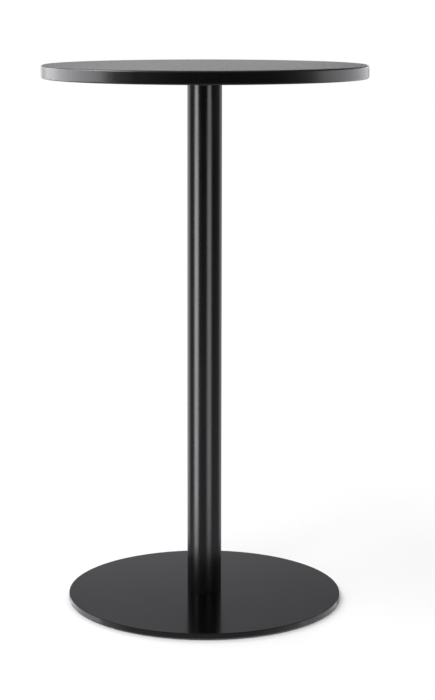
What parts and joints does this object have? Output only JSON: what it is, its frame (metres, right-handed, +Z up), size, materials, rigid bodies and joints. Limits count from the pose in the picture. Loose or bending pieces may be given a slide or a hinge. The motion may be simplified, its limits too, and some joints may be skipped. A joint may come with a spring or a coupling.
{
  "type": "pub table",
  "caption": "Round bar-height table: a thin dark top on one slim steel column and a flat steel disc base with levelling glides.",
  "frame": {"origin": "on the floor under the middle of the column, with the glides screwed fully in", "axes": "+Z up the column; the table is round, and the glides stand at 45 degrees between X and Y"},
  "size_m": [0.6, 0.6, 1],
  "materials": {
    "linoleum": "matt black furniture linoleum",
    "fibreboard": "raw medium density fibreboard",
    "balance_sheet": "matt black balancing laminate",
    "edge_band": "satin black plastic edging",
    "powder_coat": "smooth semi-gloss black powder coat on steel",
    "bare_steel": "turned steel",
    "zinc_steel": "bright zinc-plated steel",
    "black_screws": "black oxide steel",
    "glide_nylon": "black nylon"
  },
  "bodies": {
    "table": {"linoleum_surface": "linoleum", "tabletop_core": "fibreboard", "balance_sheet": "balance_sheet", "edge_band": "edge_band", "threaded_inserts": "zinc_steel", "top_plate": "powder_coat", "top_plate_screws": "black_screws", "top_plate_washers": "black_screws", "column_tube": "powder_coat", "column_head_plug": "bare_steel", "column_foot_plug": "bare_steel", "column_head_screws": "zinc_steel", "column_foot_screws": "black_screws", "base_plate": "powder_coat"},
    "pad_1": {"glide_pad_1": "glide_nylon"},
    "stud_1": {"glide_stud_1": "zinc_steel"},
    "pad_2": {"glide_pad_2": "glide_nylon"},
    "stud_2": {"glide_stud_2": "zinc_steel"},
    "pad_3": {"glide_pad_3": "glide_nylon"},
    "stud_3": {"glide_stud_3": "zinc_steel"},
    "pad_4": {"glide_pad_4": "glide_nylon"},
    "stud_4": {"glide_stud_4": "zinc_steel"}
  },
  "joints": [
    {"name": "glide_1_drop", "type": "slide", "parent": "table", "child": "pad_1", "axis": [0, 0, -1], "range_m": [0, 0.00375]},
    {"name": "glide_1_turn", "type": "hinge", "parent": "pad_1", "child": "stud_1", "pos_m": [0.14991, 0.14991, 0], "axis": [0, 0, -1], "range_deg": [0, 1080]},
    {"name": "glide_2_drop", "type": "slide", "parent": "table", "child": "pad_2", "axis": [0, 0, -1], "range_m": [0, 0.00375]},
    {"name": "glide_2_turn", "type": "hinge", "parent": "pad_2", "child": "stud_2", "pos_m": [-0.14991, 0.14991, 0], "axis": [0, 0, -1], "range_deg": [0, 1080]},
    {"name": "glide_3_drop", "type": "slide", "parent": "table", "child": "pad_3", "axis": [0, 0, -1], "range_m": [0, 0.00375]},
    {"name": "glide_3_turn", "type": "hinge", "parent": "pad_3", "child": "stud_3", "pos_m": [-0.14991, -0.14991, 0], "axis": [0, 0, -1], "range_deg": [0, 1080]},
    {"name": "glide_4_drop", "type": "slide", "parent": "table", "child": "pad_4", "axis": [0, 0, -1], "range_m": [0, 0.00375]},
    {"name": "glide_4_turn", "type": "hinge", "parent": "pad_4", "child": "stud_4", "pos_m": [0.14991, -0.14991, 0], "axis": [0, 0, -1], "range_deg": [0, 1080]}
  ],
  "couplings": [
    {"joint": "glide_1_drop", "follows": "glide_1_turn", "m_per_rad": 0.00019894},
    {"joint": "glide_2_drop", "follows": "glide_2_turn", "m_per_rad": 0.00019894},
    {"joint": "glide_3_drop", "follows": "glide_3_turn", "m_per_rad": 0.00019894},
    {"joint": "glide_4_drop", "follows": "glide_4_turn", "m_per_rad": 0.00019894}
  ]
}
